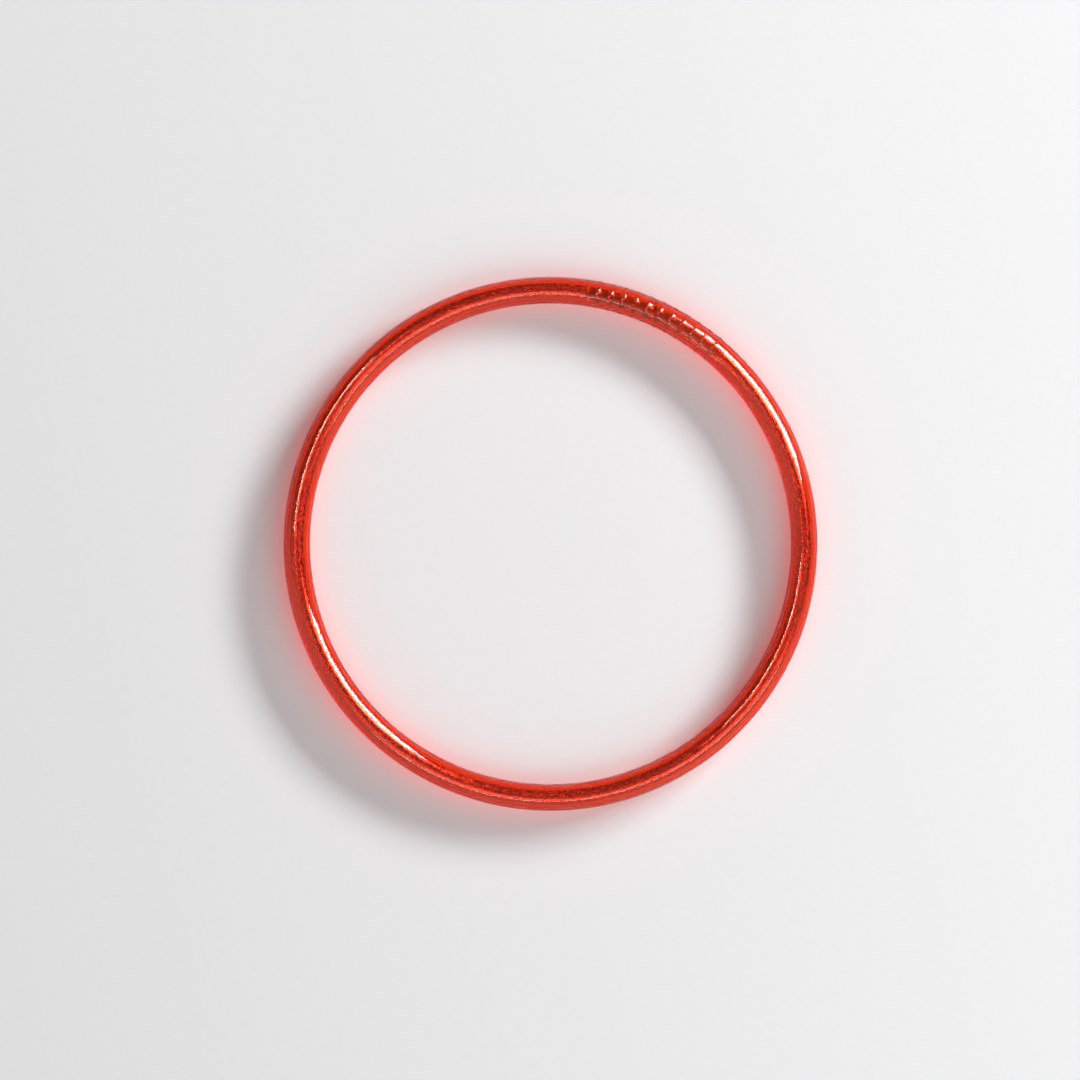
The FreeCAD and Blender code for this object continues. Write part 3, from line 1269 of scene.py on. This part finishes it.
@dataclass
class Glue(Piece):
    """The adhesive that squeezed into the plug's groove beneath the seam.

    Args:
        near: Reach towards the nearer rib.
        far: Reach towards the farther rib.
        over_root: Gap between it and the plug's root.
        under_crest: How far it stays below the ribs' height.
        thinnest: Height of its thinnest place over the root.
        fill: How full the groove is on average, how far that varies and the least, as shares.
        lump_waves: How quickly it varies round the tube.
        lump_run: How quickly it varies along the tube, per metre.
        sides: Sides round the tube.
        steps: Stations along it.
    """

    name: str = "glue_collar"
    node: str = "seam_glue"
    finish: Finish = SetGlue()
    sectors: int = 2
    near: float = 0.17 * MM
    far: float = 0.52 * MM
    over_root: float = 0.012 * MM
    under_crest: float = 0.015 * MM
    thinnest: float = 0.02 * MM
    fill: tuple[float, float, float] = (0.55, 0.9, 0.1)
    lump_waves: float = 3.0
    lump_run: float = 900.0
    sides: int = 72
    steps: int = 10

    def shape(self) -> Shape:
        """Bridges an outer and an inner sleeve and makes the collar lumpy.

        Returns:
            The collar's mesh.
        """
        shape = self.sleeve(self.joint.crest_radius - self.under_crest)
        join(shape, self.sleeve(self.joint.root_radius + self.over_root))
        open_edges = rims(shape)
        for side in (1, -1):
            pair = [edge for edge in open_edges if side * self.side_of(edge) > 0]
            bmesh.ops.bridge_loops(shape, edges=pair)
        self.line.reshape(shape, self.lumpy)
        return shape

    def sleeve(self, reach: float) -> Shape:
        """Sweeps a sleeve as long as the collar.

        Args:
            reach: Its radius.

        Returns:
            The open sleeve.
        """
        start = self.line.seam - self.far / self.line.radius
        sleeve = section(self.line, reach, self.sides, start)
        self.sweep(sleeve, (self.near + self.far) / self.line.radius, self.steps)
        return sleeve

    def side_of(self, edge: bmesh.types.BMEdge) -> float:
        """Tells which side of the collar's middle an edge is on.

        Args:
            edge: An edge of a sleeve's opening.

        Returns:
            Its distance along the tube, positive on the nearer rib's side.
        """
        middle = (edge.verts[0].co + edge.verts[1].co) / 2
        past = self.line.past_seam(math.atan2(middle.y, middle.x))
        return past + (self.far - self.near) / 2

    def lumpy(self, turn: float, around: float, reach: float) -> float:
        """The adhesive's distance from the centreline, thicker in some places than others.

        Args:
            turn: Direction round the ring.
            around: Direction round the tube.
            reach: The distance before.

        Returns:
            The distance.
        """
        low = self.joint.root_radius + self.thinnest
        if reach < low:
            return reach
        mean, spread, least = self.fill
        lump = ripple(around, self.lump_waves, self.lump_run * self.line.past_seam(turn))
        return low + (reach - low) * min(max(mean + spread * lump, least), 1.0)


# --- setting -----------------------------------------------------------------------------------


class Lights(Enum):
    """What a lamp lights."""

    MATT = "matt surfaces"
    GLOSS = "glossy and clear surfaces"


@dataclass(frozen=True)
class Lamp:
    """A soft rectangular lamp that faces the bangle.

    Args:
        name: The lamp's name.
        lights: What it lights.
        turn: Its direction in the view, in degrees.
        rise: Its angle above the table, in degrees.
        distance: Its distance from the ring's centre.
        size: Its width and height.
        power: Its power in watts.
        tone: Its colour.
    """

    name: str
    lights: Lights
    turn: float
    rise: float
    distance: float
    size: Pair
    power: float
    tone: Tone = Tone.WHITE_LIGHT

    def place(self, roll: float) -> None:
        """Adds the lamp.

        Args:
            roll: Turn of the view against the bangle's frame.
        """
        light = bpy.data.lights.new(self.name, "AREA")
        light.shape = "RECTANGLE"
        light.size, light.size_y = self.size
        light.energy = self.power
        light.color = self.tone.value[:3]
        lamp = bpy.data.objects.new(self.name, light)
        turn, rise = roll + math.radians(self.turn), math.radians(self.rise)
        level = Vector((math.cos(turn), math.sin(turn), 0)) * math.cos(rise)
        lamp.location = self.distance * (level + Vector((0, 0, math.sin(rise))))
        lamp.rotation_euler = (-lamp.location).to_track_quat("-Z", "Y").to_euler()
        lamp.visible_diffuse = self.lights is Lights.MATT
        lamp.visible_glossy = self.lights is Lights.GLOSS
        lamp.visible_transmission = self.lights is Lights.GLOSS
        bpy.context.scene.collection.objects.link(lamp)


LAMPS = (
    Lamp("key_on_matt", Lights.MATT, KEY_TURN, 19.5, 1.0, (0.57, 0.16), 14.6),
    Lamp("key_on_gloss", Lights.GLOSS, KEY_TURN, 39, 1.0, (0.57, 0.46), 21.0, Tone.COOL_LIGHT),
    Lamp("fill_on_gloss", Lights.GLOSS, 156, 66, 0.7, (0.22, 0.05), 0.85),
    Lamp("foot_on_matt", Lights.MATT, -45, 40, 0.4, (0.4, 0.3), 0.34),
    Lamp("strip_on_gloss", Lights.GLOSS, -80, 57, 1.2, (1.7, 0.13), 4.8),
)


@dataclass(frozen=True)
class Spill:
    """Red light that the tinted tube throws on the paper round it.

    It is a glowing sleeve over the tube that only matt surfaces see.

    Args:
        line: The centreline that the sleeve follows.
        key_turn: Direction of the key lamp, round the ring.
        name: The sleeve's name.
        reach: The sleeve's radius.
        raised: How far it sits above the centreline.
        glow: Its brightness where the tube lies along the key lamp's light, and across it.
        squareness: How suddenly the brightness changes between them.
        sides: Sides of the sleeve.
        steps: Stations along the ring.
    """

    line: Centreline
    key_turn: float
    name: str = "red_spill"
    reach: float = 1.93 * MM
    raised: float = 0.18 * MM
    glow: Pair = (0.88, 1.35)
    squareness: float = 4.0
    sides: int = 24
    steps: int = 160

    def place(self) -> None:
        """Adds the sleeve and hides it from everything but matt surfaces."""
        above = Centreline(self.line.radius, self.line.lift + self.raised)
        shape = section(above, self.reach, self.sides)
        spin(shape, FULL_TURN, self.steps, use_merge=True)
        sleeve = set_up(self.name, shape, self.material())
        sleeve.visible_camera = False
        sleeve.visible_glossy = False
        sleeve.visible_transmission = False
        sleeve.visible_volume_scatter = False
        sleeve.visible_shadow = False

    def material(self) -> bpy.types.Material:
        """Builds the glow, brightest where the key lamp's light meets the tube squarely.

        Returns:
            The material.
        """
        wiring = Wiring.material(self.name)
        level = wiring.add("Mapping", Vector=wiring.places(), Scale=(1, 1, 0))
        out = wiring.reckon("VectorMath", "NORMALIZE", level.outputs["Vector"])
        key = (math.cos(self.key_turn), math.sin(self.key_turn), 0)
        meeting = wiring.reckon("VectorMath", "DOT_PRODUCT", out.outputs["Vector"], key)
        size = wiring.reckon("Math", "ABSOLUTE", meeting.outputs["Value"])
        squarely = wiring.reckon("Math", "POWER", size.outputs["Value"], self.squareness)
        strength = wiring.spread(squarely.outputs["Value"], *self.glow)
        glow = wiring.add("Emission", Color=Tone.SPILL, Strength=strength)
        return wiring.finish(glow.outputs["Emission"])


@dataclass(frozen=True)
class Studio:
    """The pale table, the lamps, the soft room light and the camera.

    Args:
        line: The bangle's centreline.
        roll: Turn of the view's upright against +Y.
        view_width: Width of the table that the camera takes in.
        camera_height: The camera's height above the table.
        sensor: Width of the camera's sensor, in millimetres.
        clip: The nearest and farthest that the camera sees.
        aside: How far the ring's centre is from the view's centre, to the right and up.
        room: Strength of the room's light from its dark side and from its bright side.
        bright_side: Direction of the room's bright side in the view.
        dusk: Where the bright side begins and is full, as a share of the way towards it.
        table_size: Half the table's side.
        give: How far the paper gives under the bangle.
        bounces: How many surfaces light may pass.
    """

    line: Centreline
    roll: float = math.radians(23.25)
    view_width: float = 141.9 * MM
    camera_height: float = 0.8
    sensor: float = 36.0
    clip: Pair = (0.01, 10.0)
    aside: Pair = (1.374 * MM, -0.51 * MM)
    room: Pair = (0.14, 0.70)
    bright_side: float = math.radians(-100)
    dusk: Pair = (-0.1, 0.35)
    table_size: float = 1.5
    give: float = 0.06 * MM
    bounces: int = 32

    def build(self) -> None:
        """Adds everything round the bangle."""
        self.add_table()
        self.add_camera()
        self.add_room()
        for lamp in LAMPS:
            lamp.place(self.roll)
        Spill(self.line, self.roll + math.radians(KEY_TURN)).place()
        view = bpy.context.scene.view_settings
        view.view_transform = "Standard"
        view.look = "None"
        paths = bpy.context.scene.cycles
        paths.max_bounces = self.bounces
        paths.transmission_bounces = self.bounces
        paths.sample_clamp_indirect = 0

    def add_table(self) -> None:
        """Adds the paper that the bangle lies on."""
        shape = bmesh.new()
        low = Matrix.Translation((0, 0, -self.give))
        bmesh.ops.create_grid(
            shape, x_segments=8, y_segments=8, size=self.table_size, matrix=low
        )
        set_up("table", shape, Paper().material())

    def add_camera(self) -> None:
        """Adds the camera, straight above and rolled so that the seam is right of the top."""
        lens = bpy.data.cameras.new("camera")
        lens.sensor_width = self.sensor
        lens.lens = self.sensor * self.camera_height / self.view_width
        lens.clip_start, lens.clip_end = self.clip
        camera = bpy.data.objects.new("camera", lens)
        right = Vector((math.cos(self.roll), math.sin(self.roll), 0))
        upright = Vector((-math.sin(self.roll), math.cos(self.roll), 0))
        camera.location = -self.aside[0] * right - self.aside[1] * upright
        camera.location.z = self.camera_height
        camera.rotation_euler = (0, 0, self.roll)
        bpy.context.scene.collection.objects.link(camera)
        bpy.context.scene.camera = camera

    def add_room(self) -> None:
        """Adds the room's soft light, brighter from one side."""
        world = bpy.data.worlds.new("room")
        bpy.context.scene.world = world
        wiring = Wiring(world)
        heading = wiring.add("TexCoord").outputs["Generated"]
        turn = self.roll + self.bright_side
        bright = (math.cos(turn), math.sin(turn), 0)
        towards = wiring.reckon("VectorMath", "DOT_PRODUCT", heading, bright)
        ramp = wiring.add(
            "MapRange",
            Value=towards.outputs["Value"],
            From_Min=self.dusk[0],
            From_Max=self.dusk[1],
            To_Min=self.room[0],
            To_Max=self.room[1],
        )
        ramp.interpolation_type = "SMOOTHSTEP"
        strength = ramp.outputs["Result"]
        background = wiring.add("Background", Color=Tone.ROOM, Strength=strength)
        wiring.finish(background.outputs["Background"])


def main() -> None:
    """Builds the bangle's pieces in order, then its setting."""
    logging.basicConfig(level=logging.INFO, format="%(name)s: %(message)s")
    line = Centreline.from_frame()
    joint = JointSizes()
    for kind in (Plug, Glue, Foil, Flakes, Tube):
        piece = kind(line, joint).build()
        LOG.info("%s has %d faces", piece.name, len(piece.data.polygons))
    Studio(line).build()


if __name__ == "__main__":
    main()
